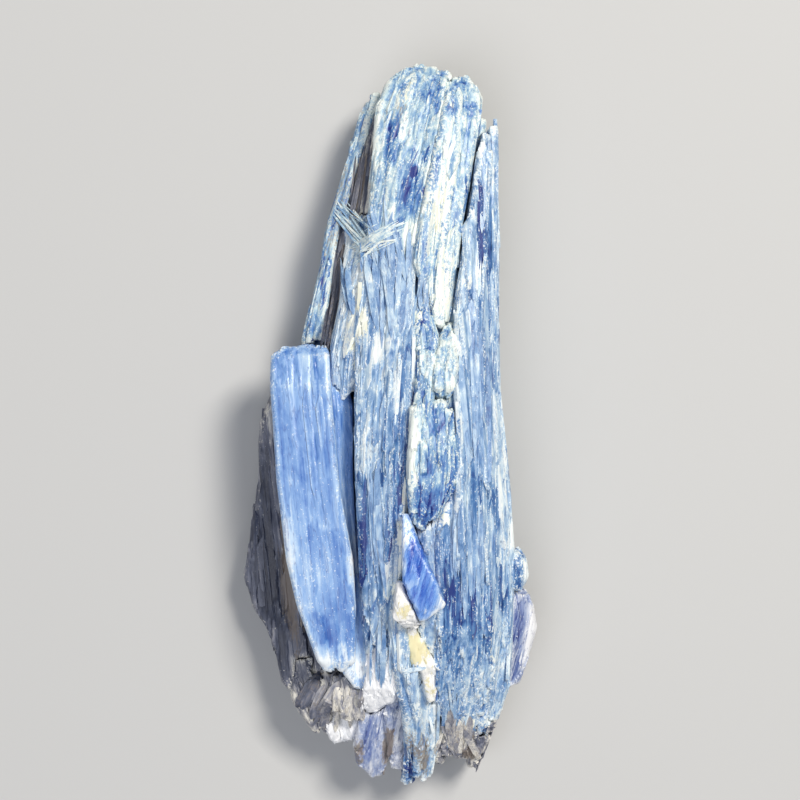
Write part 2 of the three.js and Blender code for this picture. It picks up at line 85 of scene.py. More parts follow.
def kyanite(name, colours, level, streaky, frost, gloss, patchy=1.0, blotchy=0.0, crusted="#f8faec"):
    """Kyanite, a triclinic aluminium silicate, split along its cleavage. Clear crystal is deep blue. Cleavage
    cracks cloud it along the grain through pale blue to white, and splinters frost its edges."""
    material = bpy.data.materials.new(name)
    material.use_nodes = True
    tree = material.node_tree
    shader = tree.nodes["Principled BSDF"]
    grain = add(tree, "ShaderNodeAttribute", {"attribute_name": "grain"}).outputs["Vector"]
    seen = {
        key: add(tree, "ShaderNodeAttribute", {"attribute_name": key}).outputs["Fac"]
        for key in (*MARKS, "edge", "ridge", "tint")
    }
    for key, width, length, detail, twist in (
        ("hairs", 0.26, 6.0, 4.0, 0.0),  # streaks 0.1 to 0.3 mm wide, and up to a centimetre long
        ("bands", 1.1, 14.0, 3.0, 0.0),  # the broader bands that they gather in
        ("clouds", 4.0, 9.0, 4.0, 0.3),  # clear and cloudy places
        ("blots", 1.3, 3.2, 5.0, 0.9),  # mica and quartz grown through the crystal
        ("flecks", 0.21, 0.36, 3.0, 0.0),  # single splinters of frost
    ):
        cell = add(tree, "ShaderNodeVectorMath", DIVIDE, grain, (width, length, width))
        noise = {"Scale": 1.0, "Detail": detail, "Roughness": 0.62, "Distortion": twist}
        seen[key] = add(tree, "ShaderNodeTexNoise", {}, cell, **noise)

    def weighed(start, **weights):
        """start and the sum of what is seen there, each by its weight."""
        total = start
        for key, weight in weights.items():
            total = add(tree, "ShaderNodeMath", SUM, seen[key], weight, total)
        return total

    def mixed(amount, low, high, strength, below, above):
        """The colour below, turning to above by up to strength as amount goes from low to high."""
        soft = {"interpolation_type": "SMOOTHSTEP"}
        share = add(tree, "ShaderNodeMapRange", soft, amount, low, high, 0.0, strength)
        return add(tree, "ShaderNodeMix", {"data_type": "RGBA"}, share, below, above)

    # the cloud, from clear blue to white: ridges turn paler with frost, and hollows between the laths turn a
    # deeper blue as painted shade
    cloud = weighed(
        level - 0.5 * (1.1 * patchy + 1.8 * streaky + 1.6 * blotchy),
        clouds=1.1 * patchy,
        bands=0.9 * streaky,
        hairs=0.9 * streaky,
        blots=1.6 * blotchy,
        white=0.8,
        deep=-0.8,
        tint=0.16,
        edge=0.25,
        ridge=0.15,
    )
    coloured = add(tree, "ShaderNodeValToRGB", {}, cloud)
    stops = coloured.color_ramp.elements
    for at, code in zip(CLOUDINESS, colours):
        stop = stops[0] if at == 0 else stops.new(at)
        stop.color = linear(code)
    stops.remove(stops[-1])  # the one that a new ramp has at its end

    # hair-thin dark cracks along the bands
    near = add(tree, "ShaderNodeMath", {"operation": "ABSOLUTE"}, weighed(-0.5, bands=1.0))
    cracks = add(tree, "ShaderNodeMapRange", {}, near, 0.0, 0.02, 0.5, 0.0)
    coloured = add(tree, "ShaderNodeMix", {"data_type": "RGBA"}, cracks, coloured, linear(colours[0]))

    # frost, then brown stain, then a crust of quartz with rust in it
    dust = weighed(
        frost - 1.75 - 0.25 * streaky - 0.5 * blotchy,
        flecks=2.0,
        hairs=0.5 * streaky,
        blots=1.0 * blotchy,
        white=0.5,
        deep=-0.15,
        edge=0.4,
        ridge=0.15,
        cream=0.3,
    )
    coloured = mixed(dust, 0.1, 0.32, 0.9, coloured, linear(colours[-1]))
    stain = weighed(-1.85, brown=1.5, hairs=1.2, flecks=0.8, blots=0.9)
    coloured = mixed(stain, 0.0, 0.45, 0.85, coloured, linear("#7b6d60"))
    crust = weighed(-1.9, cream=1.4, flecks=1.2, blots=1.8)
    rust = mixed(seen["bands"], 0.5, 0.62, 0.45, linear(crusted), linear("#e6dfb2"))
    coloured = mixed(crust, 0.0, 0.35, 1.0, coloured, rust)
    tree.links.new(coloured.outputs[2], shader.inputs["Base Color"])  # 2 is its mixed colour

    # frost is duller than the face under it, and the finest streaks stand out by a tenth of a millimetre
    rough = weighed(gloss - 0.2, hairs=0.3, flecks=0.15)
    rough = add(tree, "ShaderNodeMath", SUM, dust, 0.12, rough)
    tree.links.new(rough.outputs[0], shader.inputs["Roughness"])
    shader.inputs["IOR"].default_value = REFRACTION
    relief = weighed(0.0, hairs=1.2 * streaky, flecks=0.5)
    bump = add(tree, "ShaderNodeBump", {}, Strength=0.5, Distance=0.12 * MM, Height=relief)
    tree.links.new(bump.outputs[0], shader.inputs["Normal"])
    return material


def cleavage_tree():
    """Geometry nodes that cleave a crystal's skin, in millimetres, into laths. Each lath steps in or out by
    its own amount and breaks off at the ends at its own place. Loose laths and splinters lie on the skin."""
    tree = bpy.data.node_groups.new("cleave", "GeometryNodeTree")
    for kind, names in (
        ("NodeSocketGeometry", {"Crystal": None}),
        ("NodeSocketFloat", {"Lean": 0.0, "Lath Width": 2.0, "Lath Length": 30.0}),
        ("NodeSocketFloat", {"Step": 0.25, "End Loss": 0.5, "Cleft": 0.2, "Swell": 0.2}),
        ("NodeSocketFloat", {"Laths per mm2": 0.25, "Lath Size": 1.0, "Splinters per mm2": 0.5}),
        ("NodeSocketFloat", {"Splinter Size": 1.0, "Disorder": 1.0}),
        ("NodeSocketInt", {"Seed": 1}),
        ("NodeSocketMaterial", {"Material": None}),
    ):
        for name, value in names.items():
            socket = tree.interface.new_socket(name, in_out="INPUT", socket_type=kind)
            if value is not None:
                socket.default_value = value
    tree.interface.new_socket("Cluster", in_out="OUTPUT", socket_type="NodeSocketGeometry")
    given = tree.nodes.new("NodeGroupInput").outputs

    # the grain, which is a place turned so that Y runs along the crystal, and moved by the crystal's seed
    turn = {"rotation_type": "Z_AXIS"}
    here = add(tree, "GeometryNodeInputPosition", {})
    normal = add(tree, "GeometryNodeInputNormal", {})
    along = add(tree, "ShaderNodeVectorRotate", turn, (0, 1, 0), Angle=given["Lean"])
    upright = add(tree, "ShaderNodeMath", MULTIPLY, given["Lean"], -1.0)
    turned = add(tree, "ShaderNodeVectorRotate", turn, here, Angle=upright)
    own = add(tree, "ShaderNodeVectorMath", {"operation": "SCALE"}, (17.3, 41.7, 5.9), Scale=given["Seed"])
    grain = add(tree, "ShaderNodeVectorMath", ADD, turned, own)
    number = {"data_type": "FLOAT", "domain": "POINT"}
    vector = {"data_type": "FLOAT_VECTOR", "domain": "POINT"}

    def outstanding(iterations, depth, low):
        """How far a point stands out of the smoothed skin, as a share of depth, from low to 1."""
        soft = add(tree, "GeometryNodeBlurAttribute", {"data_type": "FLOAT_VECTOR"}, here, iterations)
        apart = add(tree, "ShaderNodeVectorMath", SUBTRACT, here, soft)
        height = add(tree, "ShaderNodeVectorMath", {"operation": "DOT_PRODUCT"}, apart, normal)
        share = add(tree, "ShaderNodeMath", DIVIDE, height, depth)
        return add(tree, "ShaderNodeClamp", {}, share, low, 1.0)

    store = "GeometryNodeStoreNamedAttribute"
    crystal = add(tree, store, vector, given["Crystal"], Name="grain", Value=grain)
    crystal = add(tree, store, number, crystal, Name="edge", Value=outstanding(10, 0.22, 0.0))

    # the skin, in broad laths and then in laths of a third of their width inside them, which wander sideways
    # by up to half a millimetre, with a cleft here and there between two broad laths
    drift = add(tree, "ShaderNodeVectorMath", DIVIDE, grain, (4.0, 18.0, 4.0))
    drift = add(tree, "ShaderNodeTexNoise", {}, drift, Scale=1.0, Detail=1.0).outputs["Color"]
    drift = add(tree, "ShaderNodeVectorMath", SUBTRACT, drift, (0.5, 0.5, 0.5))
    drift = add(tree, "ShaderNodeVectorMath", SUM, drift, (0.9, 0.0, 0.9), grain)
    total = given["Swell"]
    tint = 0.0
    for share, part in ((1.0, 1.0), (0.36, 0.5)):
        loosely = {"Scale": 1.0, "Randomness": 0.9}
        width = add(tree, "ShaderNodeMath", MULTIPLY, given["Lath Width"], share)
        length = add(tree, "ShaderNodeMath", MULTIPLY, given["Lath Length"], math.sqrt(share))
        cell = add(tree, "ShaderNodeCombineXYZ", {}, width, length, width)
        cell = add(tree, "ShaderNodeVectorMath", DIVIDE, drift, cell)
        chance = add(tree, "ShaderNodeTexVoronoi", {"distance": "CHEBYCHEV"}, cell, **loosely)
        chance = add(tree, "ShaderNodeSeparateXYZ", {}, chance.outputs["Color"]).outputs
        level = add(tree, "ShaderNodeMath", SUM, chance[0], 2.0, -1.0)
        height = add(tree, "ShaderNodeMath", MULTIPLY, given["Step"], part)
        total = add(tree, "ShaderNodeMath", SUM, level, height, total)
        tone = add(tree, "ShaderNodeMath", SUM, chance[1], 2.0, -1.0)
        tint = add(tree, "ShaderNodeMath", SUM, tone, part, tint)
        if share == 1.0:
            gap = add(tree, "ShaderNodeTexVoronoi", {"feature": "DISTANCE_TO_EDGE"}, cell, **loosely)
            groove = add(tree, "ShaderNodeMapRange", {}, gap, 0.0, 0.045, 1.0, 0.0)
            where = add(tree, "ShaderNodeVectorMath", DIVIDE, grain, (3.0, 14.0, 3.0))
            where = add(tree, "ShaderNodeTexNoise", {}, where, Scale=1.0, Detail=1.0)
            where = add(tree, "ShaderNodeMapRange", {}, where, 0.48, 0.6, 0.0, -1.0)
            groove = add(tree, "ShaderNodeMath", MULTIPLY, groove, where)
            total = add(tree, "ShaderNodeMath", SUM, groove, given["Cleft"], total)

    # the ends, where each strand breaks off at its own place
    facing = add(tree, "ShaderNodeVectorMath", {"operation": "DOT_PRODUCT"}, normal, along)
    end = add(tree, "ShaderNodeMath", MULTIPLY, facing, facing)
    strand = add(tree, "ShaderNodeVectorMath", DIVIDE, drift, (0.8, 400.0, 0.8))
    strand = add(tree, "ShaderNodeTexVoronoi", {"distance": "CHEBYCHEV"}, strand, Scale=1.0).outputs["Color"]
    strand = add(tree, "ShaderNodeSeparateXYZ", {}, strand).outputs
    loss = add(tree, "ShaderNodeMath", MULTIPLY, strand[1], given["End Loss"])
    loss = add(tree, "ShaderNodeMath", MULTIPLY, loss, end)
    total = add(tree, "ShaderNodeMath", SUBTRACT, total, loss)
    offset = add(tree, "ShaderNodeVectorMath", {"operation": "SCALE"}, normal, Scale=total)
    skin = add(tree, store, number, crystal, Name="tint", Value=tint)
    skin = add(tree, "GeometryNodeSetPosition", {}, skin, Offset=offset)
    # how far each point stands out once the laths are cut, which the shader reads as frost on the ridges and
    # painted shade in the hollows
    skin = add(tree, store, number, skin, Name="ridge", Value=outstanding(6, 0.12, -1.0))
    skin = add(tree, "GeometryNodeSetShadeSmooth", {}, skin, Shade_Smooth=True)
    bend = add(tree, "GeometryNodeInputMeshEdgeAngle", {})
    steep = add(tree, "FunctionNodeCompare", {"operation": "GREATER_THAN"}, bend, 0.55)  # radians
    skin = add(tree, "GeometryNodeSetShadeSmooth", {"domain": "EDGE"}, skin, steep, False)
    parts = [skin]
    slope = add(tree, "ShaderNodeMath", {"operation": "ABSOLUTE"}, facing)  # 0 on the sides and 1 on the ends
    sides = add(tree, "FunctionNodeCompare", {"operation": "LESS_THAN"}, slope, 0.5)

    # loose laths, then splinters. Sizes are across, along and up, in millimetres. A lath is a bar of a few
    # faces, taper is how long its ends are drawn out, and shift keeps the two layers' chances apart.
    laths = (given["Laths per mm2"], given["Lath Size"], (0.7, 5.0, 0.3), (2.2, 16.0, 0.6), (3, 4, 2), 3.2, 0)
    splinters = (given["Splinters per mm2"], given["Splinter Size"], (0.15, 1.0, 0.12), (0.5, 5.0, 0.3))
    splinters += ((2, 3, 2), 1.0, 50)
    for density, scale, smallest, largest, points, taper, shift in (laths, splinters):
        seed = add(tree, "ShaderNodeMath", ADD, given["Seed"], float(shift))
        chance = {
            key: add(
                tree,
                "FunctionNodeRandomValue",
                {"data_type": "FLOAT_VECTOR" if isinstance(low, tuple) else "FLOAT"},
                Min=low,
                Max=high,
                Seed=add(tree, "ShaderNodeMath", ADD, seed, float(place)),
            )
            for place, (key, low, high) in enumerate(
                (
                    ("crooked", (-0.04, -0.16, -0.05), (0.04, 0.16, 0.05)),
                    ("size", smallest, largest),
                    ("reach", 0.1, largest[2]),
                    ("tint", -1.0, 1.0),
                    ("jump", (-9.0, -9.0, -9.0), (9.0, 9.0, 9.0)),
                )
            )
        }

        # one bar, pointed at both ends, narrower on top and cut aslant
        bar = add(tree, "GeometryNodeMeshCube", {}, (1, 1, 1), *points)
        spot = add(tree, "ShaderNodeSeparateXYZ", {}, here).outputs
        far = add(tree, "ShaderNodeMath", {"operation": "ABSOLUTE"}, spot[1])
        tip = add(tree, "ShaderNodeMapRange", {}, far, 0.3, 0.5, 1.0, 0.45)
        lean_in = add(tree, "ShaderNodeMath", SUM, spot[2], -0.3, 0.85)
        across = add(tree, "ShaderNodeMath", MULTIPLY, spot[0], tip)
        across = add(tree, "ShaderNodeMath", MULTIPLY, across, lean_in)
        reach = add(tree, "ShaderNodeMapRange", {}, far, 0.0, 0.5, taper, 1.0)
        reach = add(tree, "ShaderNodeMath", {"operation": "MINIMUM"}, reach, 2.6)
        length = add(tree, "ShaderNodeMath", MULTIPLY, spot[1], reach)
        length = add(tree, "ShaderNodeMath", SUM, spot[0], 0.13, length)
        shaped = add(tree, "ShaderNodeCombineXYZ", {}, across, length, spot[2])
        rim = add(tree, "ShaderNodeMath", {"operation": "ABSOLUTE"}, spot[0])
        frosted = add(tree, "ShaderNodeMapRange", {}, rim, 0.0, 0.5, -0.3, 0.6)
        bar = add(tree, store, number, bar, Name="edge", Value=frosted)
        bar = add(tree, "GeometryNodeSetPosition", {}, bar, Position=shaped)

        # laid on the sides along the grain, wherever both of its ends come near the skin
        spread = "GeometryNodeDistributePointsOnFaces"
        spread = add(tree, spread, {}, Mesh=crystal, Selection=sides, Density=density, Seed=seed)
        flat = spread.outputs["Normal"]
        laid = add(tree, "FunctionNodeAlignRotationToVector", {"axis": "Z"}, Vector=flat)
        lengthwise = {"axis": "Y", "pivot_axis": "Z"}
        laid = add(tree, "FunctionNodeAlignRotationToVector", lengthwise, laid, 1.0, along)
        disorder = given["Disorder"]
        crooked = add(tree, "ShaderNodeVectorMath", {"operation": "SCALE"}, chance["crooked"], Scale=disorder)
        laid = add(tree, "FunctionNodeRotateRotation", {"rotation_space": "LOCAL"}, laid, crooked)
        size = add(tree, "ShaderNodeVectorMath", {"operation": "SCALE"}, chance["size"], Scale=scale)
        half = add(tree, "ShaderNodeVectorMath", MULTIPLY, size, (0.0, 0.5, 0.0))
        half = add(tree, "FunctionNodeRotateVector", {}, half, laid)
        gaps = [
            add(
                tree,
                "GeometryNodeProximity",
                {"target_element": "FACES"},
                crystal,
                Sample_Position=add(tree, "ShaderNodeVectorMath", way, here, half),
            ).outputs["Distance"]
            for way in (ADD, SUBTRACT)
        ]
        gap = add(tree, "ShaderNodeMath", {"operation": "MAXIMUM"}, *gaps)
        lies = add(tree, "FunctionNodeCompare", {"operation": "LESS_THAN"}, gap, chance["reach"])
        placed = {"Instance": bar, "Rotation": laid, "Scale": size}
        loose = add(tree, "GeometryNodeInstanceOnPoints", {}, spread, lies, **placed)
        loose = add(tree, store, {**number, "domain": "INSTANCE"}, loose, Name="tint", Value=chance["tint"])
        loose = add(tree, store, {**vector, "domain": "INSTANCE"}, loose, Name="jump", Value=chance["jump"])
        loose = add(tree, "GeometryNodeRealizeInstances", {}, loose)
        jump = add(tree, "GeometryNodeInputNamedAttribute", {"data_type": "FLOAT_VECTOR"}, "jump")
        jumped = add(tree, "ShaderNodeVectorMath", ADD, turned, jump)
        loose = add(tree, store, vector, loose, Name="grain", Value=jumped)
        parts.append(add(tree, "GeometryNodeSetShadeSmooth", {}, loose, Shade_Smooth=False))

    # nothing reaches the table
    clearance = 0.02
    joined = tree.nodes.new("GeometryNodeJoinGeometry")
    for part in parts:
        tree.links.new(part.outputs[0], joined.inputs[0])
    spot = add(tree, "ShaderNodeSeparateXYZ", {}, here).outputs
    lifted = add(tree, "ShaderNodeMath", {"operation": "MAXIMUM"}, spot[2], clearance)
    rested = add(tree, "ShaderNodeCombineXYZ", {}, spot[0], spot[1], lifted)
    joined = add(tree, "GeometryNodeSetPosition", {}, joined, Position=rested)
    realized = add(tree, "GeometryNodeRealizeInstances", {}, joined)
    finished = add(tree, "GeometryNodeSetMaterial", {}, realized, Material=given["Material"])
    tree.links.new(finished.outputs[0], tree.nodes.new("NodeGroupOutput").inputs[0])
    return tree


cleave = cleavage_tree()


def evaluated(thing, name):
    """The plain mesh that an object's modifiers make."""
    bpy.context.view_layer.update()
    mesh = bpy.data.meshes.new_from_object(thing.evaluated_get(bpy.context.evaluated_depsgraph_get()))
    mesh.name = name
    thing.modifiers.clear()
    return mesh


def grow(piece, group, name, inputs):
    """Gives a piece in millimetres what a node group makes of it, as a plain mesh in metres."""
    modifier = piece.modifiers.new(group.name, "NODES")
    modifier.node_group = group
    for item in group.interface.items_tree:
        if item.name in inputs:
            modifier[item.identifier] = inputs[item.name]
    piece.data = evaluated(piece, name)
    piece.data.transform(Matrix.Scale(MM, 4))


def crystal(node, material, slot, lean, spots=(), clear=0.0, **sizes):
    """Grows a crystal out of its solid, as a fine skin in millimetres. It is cleaved along its length,
    turned lean degrees from +Y towards -X. A spot is (mark, x, y, width, length, amount) in millimetres,
    and clear is how much deeper blue the whole crystal is."""
    voxel = 0.17  # the skin's quads across the grain, in millimetres
    squash = 0.34  # and their width as a share of their length
    seed = 1 + sorted(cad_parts).index(node)
    turn = Matrix.Rotation(math.radians(-lean), 4, "Z")
    to_grain = Matrix.Diagonal((1, squash, 1, 1)) @ turn @ Matrix.Scale(1 / MM, 4)

    # the solid's faces as an even skin of quads, drawn out along the grain
    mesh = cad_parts[node].data.copy()
    solid = bmesh.new()
    solid.from_mesh(mesh)
    bmesh.ops.remove_doubles(solid, verts=solid.verts, dist=0.001 * MM)
    solid.to_mesh(mesh)
    solid.free()
    mesh.transform(to_grain)
    piece = bpy.data.objects.new(node + "_crystal", mesh)
    bpy.context.scene.collection.objects.link(piece)
    skin = piece.modifiers.new("skin", "REMESH")
    skin.mode = "VOXEL"
    skin.voxel_size = voxel
    piece.data = evaluated(piece, node + "_skin")
    mesh = piece.data
    mesh.transform(turn.inverted() @ Matrix.Diagonal((1, 1 / squash, 1, 1)))

    # the spots, each fading out from its middle
    places = np.empty(len(mesh.vertices) * 3)
    mesh.vertices.foreach_get("co", places)
    places = places.reshape(-1, 3)
    back = np.array(turn.inverted().to_3x3())
    for mark in MARKS:
        amount = np.full(len(places), clear if mark == "deep" else 0.0)
        for kind, x, y, width, length, strength in spots:
            if kind == mark:
                local = (places - np.array([x, y, 0])) @ back
                across, along = 2 * local[:, 0] / width, 2 * local[:, 1] / length
                amount += strength * np.exp(-(across**2) - along**2)
        mesh.attributes.new(mark, "FLOAT", "POINT").data.foreach_set("value", amount)

    # the laths
    sizes.update({"Lean": math.radians(lean), "Seed": seed, "Material": material})
    grow(piece, cleave, node + "_crystal", sizes)
    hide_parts(node)
    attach(piece, "root")


# Soft sky blue with hair-fine paler streaks and a satin sheen.
periwinkle = kyanite(
    "kyanite_cleaved_smooth",
    ("#123a92", "#4376c0", "#84abde", "#b6d2ee", "#eff5f7"),
    level=0.47,
    patchy=0.55,
    streaky=0.3,
    blotchy=0.3,
    frost=0.57,
    gloss=0.36,
)
crystal(
    "front_left_blade",
    periwinkle,
    "blue_kyanite",
    lean=6,
    spots=(
        ("deep", -9.3, -30, 4, 8, 0.24),  # clear crystal above the foot
        ("deep", -12, 0, 9, 20, 0.18),
        ("white", -11, -21, 8, 15, 0.22),
        ("white", -5.5, -37, 6, 5, 0.6),
        ("white", -9.5, -35, 3, 3, 0.35),
        ("white", -7, -8, 2.4, 20, 0.12),  # the flank in the groove
        ("brown", -6.3, -22, 1.6, 20, 0.3),
    ),
    **{"Step": 0.07, "Cleft": 0.06, "Laths per mm2": 0.012, "Splinters per mm2": 0.25, "Splinter Size": 0.7},
)


# ---- Diagonal blade ----
# A loose cobalt-blue blade of kyanite, the clearest of all, that lies aslant on the others. It is one thin
# crystal with a clean cleavage face and a broken lower corner.

# Glassy deep cobalt that pales to white where the blade's edge is split.
cobalt = kyanite(
    "kyanite_clear_cobalt",
    ("#0c2f9a", "#2f63c4", "#6d9ce2", "#a9c6ec", "#f0f6f8"),
    level=0.5,
    streaky=0.6,
    frost=0.3,
    gloss=0.3,
)
crystal(
    "diagonal_blade",
    cobalt,
    "cobalt_kyanite",
    lean=-15,
    spots=(("white", 3, -15, 1.6, 5, 0.3), ("deep", 4, -20, 3, 8, 0.2), ("white", 6, -27, 4, 2, 0.25)),
    **{"Step": 0.05, "Cleft": 0.04, "Swell": 0.05},
    **{"Laths per mm2": 0.02, "Splinters per mm2": 0.2, "Splinter Size": 0.6},
)


# ---- Right of the middle: plate, foot blade and wedge blade ----
# Kyanite grown through with fine mica and quartz, so that it is mottled white and blue. The wedge blade is
# cream where quartz coats it, and a long crack parts it from the right blade.

# Blots of white and ice blue, like salt and pepper, with a dull silky face.
ice = kyanite(
    "kyanite_clouded_by_mica",
    ("#06267e", "#467ab9", "#8cb1cf", "#bed6de", "#edf3ec"),
    level=0.53,
    patchy=0.7,
    streaky=0.25,
    blotchy=1.0,
    frost=0.67,
    gloss=0.45,
)
crystal(
    "middle_plate",
    ice,
    "pale_kyanite",
    lean=0,
    spots=(
        # painted highlight: the bright strip down the plate's raised left edge, where the light falls on it
        ("white", 3.5, -4, 1.4, 10, 0.9),
        ("deep", 6, -11.5, 6, 6, 0.62),
        ("deep", 6.5, -3, 4, 6, 0.15),
        ("cream", 4.5, 16, 2, 4, 0.4),
        ("white", 8.5, 10, 3, 8, 0.2),
    ),
    clear=0.12,
    **{"Lath Width": 1.4, "Lath Length": 6.0, "Laths per mm2": 0.3, "Lath Size": 0.6, "Disorder": 3.0},
)
crystal(
    "foot_blade",
    ice,
    "pale_kyanite",
    lean=-4,
    spots=(("white", 9, 12, 2, 5, 0.4), ("deep", 7.5, 7.5, 2, 4, 0.2)),
    **{"Lath Width": 1.4, "Lath Length": 8.0, "Laths per mm2": 0.2, "Lath Size": 0.5, "Disorder": 2.0},
)
crystal(
    "wedge_blade",
    ice,
    "pale_kyanite",
    lean=-6,
    spots=(
        ("deep", 10.2, 48, 4, 4, 0.4),
        ("deep", 7.6, 45.6, 1.8, 5, 0.35),
        ("white", 9, 41.5, 2.6, 5, 0.5),
        ("cream", 7.6, 32, 4.4, 12, 0.55),
        ("white", 8, 33, 4.4, 16, 0.4),
        ("cream", 7.8, 20.5, 3, 9, 0.62),
        ("white", 7.8, 20.5, 3.2, 9, 0.35),
        ("deep", 5.8, 17, 1.4, 4, 0.8),
        ("deep", 8, 31, 1, 2.4, 0.3),
        # painted shade: a darker strip down the crack between the wedge blade and the right blade
        ("deep", 11.2, 33, 1, 12, 0.2),
    ),
    **{"Laths per mm2": 0.12, "Splinters per mm2": 0.6, "Disorder": 2.0},
)


# ---- Top blade ----
# The broad blade of kyanite that makes the narrow end, ice blue and cloudy with white, with windows of clear
# navy crystal. It broke off round at its head and thins out over the centre blades.

crystal(
    "top_blade",
    ice,
    "pale_kyanite",
    lean=-12,
    spots=(
        ("deep", 0.3, 43.5, 3, 4, 0.35),
        ("deep", 1.3, 39.5, 3.4, 5, 0.45),
        ("deep", 3.7, 37.8, 1.0, 1.5, 1.7),  # the navy window
        ("deep", 5.2, 35, 0.8, 1.2, 1.1),
        ("deep", 2.2, 33.5, 3.4, 6, 0.4),
        ("white", -1, 36, 3, 12, 0.2),
        ("white", 0, 50, 5, 9, 0.06),
        ("deep", 6.4, 50, 4, 6, 0.25),
        ("white", 3, 28.5, 3, 4, 0.6),
        ("white", -1.4, 42, 2, 6, 0.4),
        ("white", 3, 46, 2.4, 8, 0.25),
        ("cream", 2.3, 50, 1.8, 7, 0.4),
        ("brown", 1.6, 47, 1.4, 9, 0.42),
    ),
    **{"Step": 0.15, "Laths per mm2": 0.1, "Lath Size": 0.7, "Disorder": 2.5},
)


# ---- Centre and shoulder blades ----
# A bundle of parallel kyanite blades beside the groove, streaked white and blue, with shorter ones leaning on
# them above the front left blade. They grew side by side and share their cleavage.

# Mid blue streaked with white along the grain, speckled with frost.
mottled = kyanite(
    "kyanite_streaked",
    ("#0c2f7c", "#4777ae", "#86a9cf", "#b9d1e3", "#eef4f3"),
    level=0.54,
    patchy=0.85,
    streaky=0.48,
    blotchy=0.65,
    frost=0.62,
    gloss=0.42,
)
crystal(
    "centre_blades",
    mottled,
    "blue_kyanite",
    lean=-2,
    spots=(
        ("white", -1.5, 11, 1.8, 5, 0.8),
        ("white", 0.5, 6, 1.6, 6, 0.5),
        ("white", -3.5, -3, 1.6, 8, 0.4),
        ("cream", -4.2, 15, 3, 5, 0.85),
        ("deep", 0.2, -4, 2, 8, 0.7),
        ("deep", 1.2, 23, 1.8, 6, 0.35),
        ("deep", 0.8, -12, 3, 6, 0.75),
        ("deep", -4, -18, 2, 16, 0.7),
        # painted shadow: a dark strip where the middle plate's raised left edge shades the centre blades
        ("deep", 2.4, -4, 1, 16, 0.75),
        ("white", -1.2, -31, 1.6, 3, 0.6),
        ("cream", 1.5, -16, 0.8, 5, 0.6),
    ),
    **{"Laths per mm2": 0.3, "Splinters per mm2": 0.7},
)
crystal(
    "shoulder_blades",
    mottled,
    "blue_kyanite",
    lean=-8,
    spots=(("white", -6, 26, 5, 6, 0.3), ("cream", -5.2, 14, 2.4, 7, 0.8), ("white", -6, 18, 2, 10, 0.35)),
    **{"Laths per mm2": 0.3},
)


# ---- Right side ----
# The long kyanite blade that makes the right outline, and the straight narrow laths of the broad end that run
# into it. A knob and a short curved blade with a white rim grew out of its side.

crystal(
    "right_blade",
    mottled,
    "blue_kyanite",
    lean=2,
    spots=(
        ("deep", 14.6, 32, 5, 26, 0.14),
        ("white", 14, 40, 1.4, 8, 0.3),
        ("white", 13.5, 23, 1.6, 5, 0.5),
        ("cream", 11.5, 21, 1.4, 4, 0.5),
        ("deep", 14, 28, 1.4, 14, 0.5),
        ("deep", 13.4, 12, 1.2, 7, 0.5),
        ("deep", 12, 20, 1.2, 5, 0.6),
        ("white", 16.4, -14, 1.6, 16, 0.25),
        ("deep", 13.2, -6, 1.1, 12, 0.45),
        ("deep", 15.6, -15, 0.9, 12, 0.4),
        ("deep", 17, -25, 1.4, 7, 0.7),
        ("white", 16.4, -32, 2, 12, 0.16),
    ),
    **{"Laths per mm2": 0.3, "Splinters per mm2": 0.8},
)
crystal(
    "lower_right_blades",
    mottled,
    "blue_kyanite",
    lean=1,
    spots=(
        ("deep", 12.3, -25, 1.4, 12, 0.6),
        ("deep", 10.6, -25, 2.4, 12, 0.25),
        ("deep", 8.4, -28, 1.4, 14, 0.3),
        ("cream", 8.3, -14, 1, 4, 0.7),
        ("cream", 6.3, -18, 1, 4, 0.7),
        ("white", 12, -41, 5, 8, 0.35),
        ("brown", 12, -48, 6, 4, 0.8),
        ("cream", 11.6, -45, 2.4, 3, 0.8),
        ("cream", 15.4, -33, 0.9, 6, 0.6),
    ),
    clear=0.24,
    **{"Lath Width": 1.6, "Laths per mm2": 0.35, "Splinters per mm2": 0.8, "Disorder": 0.7},
)
crystal(
    "side_knob",
    mottled,
    "blue_kyanite",
    lean=0,
    spots=(("white", 20.6, -22, 1.4, 6, 0.6),),
    clear=0.25,
    **{"Lath Size": 0.3},
)
# Grey violet-blue, paler and duller than its neighbours.
purple = kyanite(
    "kyanite_violet",
    ("#26347a", "#6073a9", "#9caac9", "#c9cfdd", "#f1f2f4"),
    level=0.53,
    patchy=0.8,
    streaky=0.7,
    blotchy=0.3,
    frost=0.5,
    gloss=0.42,
)
crystal(
    "side_blade",
    purple,
    "pale_kyanite",
    lean=-8,
    spots=(
        ("deep", 19.6, -30, 1.8, 8, 0.45),
        ("white", 21.6, -31, 1.6, 12, 0.6),
        ("white", 18, -27, 1.4, 5, 0.3),
    ),
    **{"Lath Size": 0.5},
)


# ---- Broad end: narrow laths and tongue ----
# Narrow kyanite laths that run out from under the diagonal blade and break off in the cluster's lowest tips,
# and short flat blades beside them like a tongue, violet-grey as their iron is weathered.

crystal(
    "lower_centre_blades",
    mottled,
    "blue_kyanite",
    lean=3,
    spots=(
        ("deep", 5, -17, 4, 10, 0.3),
        ("deep", 2.7, -52.6, 2.4, 5, 0.9),
        ("white", 1.5, -33, 1.4, 6, 0.3),
        ("brown", 5, -50, 2.4, 9, 0.6),
        ("brown", 3, -48, 2, 6, 0.4),
        ("white", 6, -42, 2.4, 6, 0.4),
        ("deep", 6, -26, 1, 6, 0.5),
    ),
    **{"End Loss": 1.0, "Laths per mm2": 0.3, "Lath Size": 0.8},
)
crystal(
    "tongue_blade",
    purple,
    "blue_kyanite",
    lean=-6,
    spots=(
        ("brown", -0.3, -49, 1.8, 7, 0.9),
        ("brown", -4.6, -50, 2, 7, 0.5),
        ("white", 1.2, -47, 0.9, 8, 0.4),
        ("deep", -3.2, -48, 1.4, 7, 0.2),
    ),
    **{"End Loss": 0.8, "Lath Size": 0.5},
)
